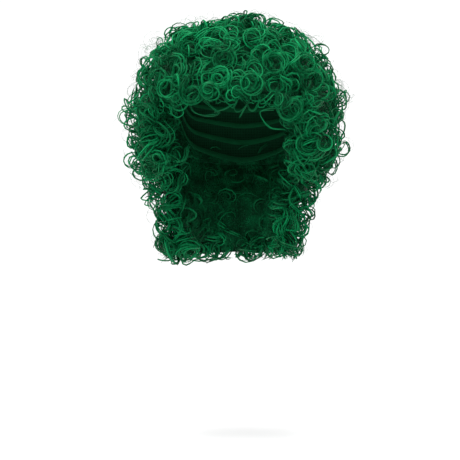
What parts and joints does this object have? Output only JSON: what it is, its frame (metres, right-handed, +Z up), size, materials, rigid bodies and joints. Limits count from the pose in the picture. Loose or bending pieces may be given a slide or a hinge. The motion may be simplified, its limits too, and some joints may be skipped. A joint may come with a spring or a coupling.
{
  "type": "curly clown wig",
  "caption": "Short curly green costume wig: a thin domed cap with ear tabs, covered in sections of spiral curls with a fringe, temple tufts and hanging nape curls.",
  "frame": {"origin": "highest point of the cap's inside, where it rests on the crown of the head", "axes": "+Z up, -Y towards the wearer's face side, +X towards the wearer's left"},
  "size_m": [0.2929, 0.2804, 0.3108],
  "materials": {
    "hair": "glossy synthetic hair fibre",
    "cap_net": "dark elastic net with rows of stitched weft"
  },
  "bodies": {
    "root": {"cap": "cap_net", "crown_curls": "hair", "fringe_curls": "hair", "left_side_curls": "hair", "right_side_curls": "hair", "back_curls": "hair", "left_temple_curls": "hair", "right_temple_curls": "hair", "left_nape_curls": "hair", "back_nape_curls": "hair", "right_nape_curls": "hair"}
  },
  "joints": []
}
